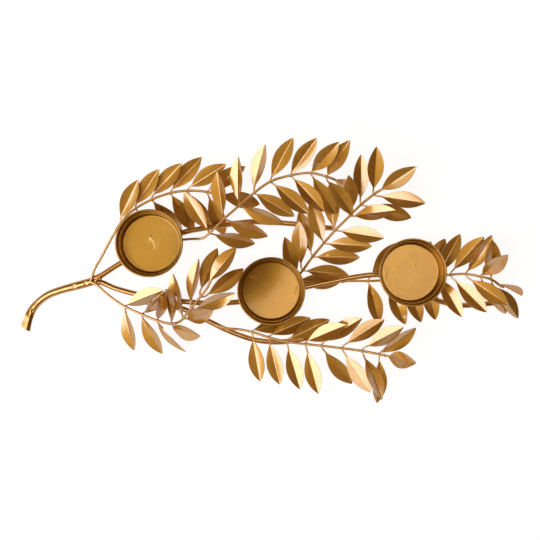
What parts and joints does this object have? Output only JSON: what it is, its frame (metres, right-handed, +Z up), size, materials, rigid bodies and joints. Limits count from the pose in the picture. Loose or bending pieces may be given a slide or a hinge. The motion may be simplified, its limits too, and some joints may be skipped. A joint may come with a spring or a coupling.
{
  "type": "candle centerpiece",
  "caption": "Welded metal branch with sprigs of folded leaves, standing on its rod ends and carrying open round cups with rolled rims for pillar candles.",
  "frame": {"origin": "middle of the outline seen from above, on the table", "axes": "+X from the bare stem end to the leafy end, +Y towards the upper branch, +Z up"},
  "size_m": [0.6382, 0.3274, 0.0831],
  "materials": {
    "rod_paint": "metallic gold paint, satin",
    "cup_paint": "metallic gold paint, fine sprayed grain",
    "leaf_paint": "metallic gold paint, semi-gloss"
  },
  "bodies": {
    "root": {"main_stem": "rod_paint", "upper_branch": "rod_paint", "middle_branch": "rod_paint", "lower_branch": "rod_paint", "cup_left": "cup_paint", "cup_center": "cup_paint", "cup_right": "cup_paint", "center_sprig": "leaf_paint", "center_sprig_leaves_1": "leaf_paint", "center_sprig_leaves_2": "leaf_paint", "center_sprig_leaves_3": "leaf_paint", "center_sprig_leaves_4": "leaf_paint", "center_sprig_leaves_5": "leaf_paint", "center_sprig_leaves_6": "leaf_paint", "center_sprig_leaves_7": "leaf_paint", "center_sprig_leaves_8": "leaf_paint", "left_lower_sprig": "leaf_paint", "left_lower_sprig_leaves_1": "leaf_paint", "left_lower_sprig_leaves_2": "leaf_paint", "left_lower_sprig_leaves_3": "leaf_paint", "left_lower_sprig_leaves_4": "leaf_paint", "left_lower_sprig_leaves_5": "leaf_paint", "left_lower_sprig_leaves_6": "leaf_paint", "left_lower_sprig_leaves_7": "leaf_paint", "left_upper_sprig": "leaf_paint", "left_upper_sprig_leaves_1": "leaf_paint", "left_upper_sprig_leaves_2": "leaf_paint", "left_upper_sprig_leaves_3": "leaf_paint", "left_upper_sprig_leaves_4": "leaf_paint", "left_upper_sprig_leaves_5": "leaf_paint", "left_upper_sprig_leaves_6": "leaf_paint", "lower_sprig": "leaf_paint", "lower_sprig_leaves_1": "leaf_paint", "lower_sprig_leaves_2": "leaf_paint", "lower_sprig_leaves_3": "leaf_paint", "lower_sprig_leaves_4": "leaf_paint", "lower_sprig_leaves_5": "leaf_paint", "lower_sprig_leaves_6": "leaf_paint", "lower_sprig_leaves_7": "leaf_paint", "lower_sprig_leaves_8": "leaf_paint", "right_sprig": "leaf_paint", "right_sprig_leaves_1": "leaf_paint", "right_sprig_leaves_2": "leaf_paint", "right_sprig_leaves_3": "leaf_paint", "right_sprig_leaves_4": "leaf_paint", "right_sprig_leaves_5": "leaf_paint", "right_sprig_leaves_6": "leaf_paint", "right_sprig_leaves_7": "leaf_paint", "right_sprig_leaves_8": "leaf_paint", "right_sprig_leaves_9": "leaf_paint", "upper_sprig": "leaf_paint", "upper_sprig_leaves_1": "leaf_paint", "upper_sprig_leaves_2": "leaf_paint", "upper_sprig_leaves_3": "leaf_paint", "upper_sprig_leaves_4": "leaf_paint", "upper_sprig_leaves_5": "leaf_paint", "upper_sprig_leaves_6": "leaf_paint", "upper_sprig_leaves_7": "leaf_paint", "upper_sprig_leaves_8": "leaf_paint"}
  },
  "joints": []
}
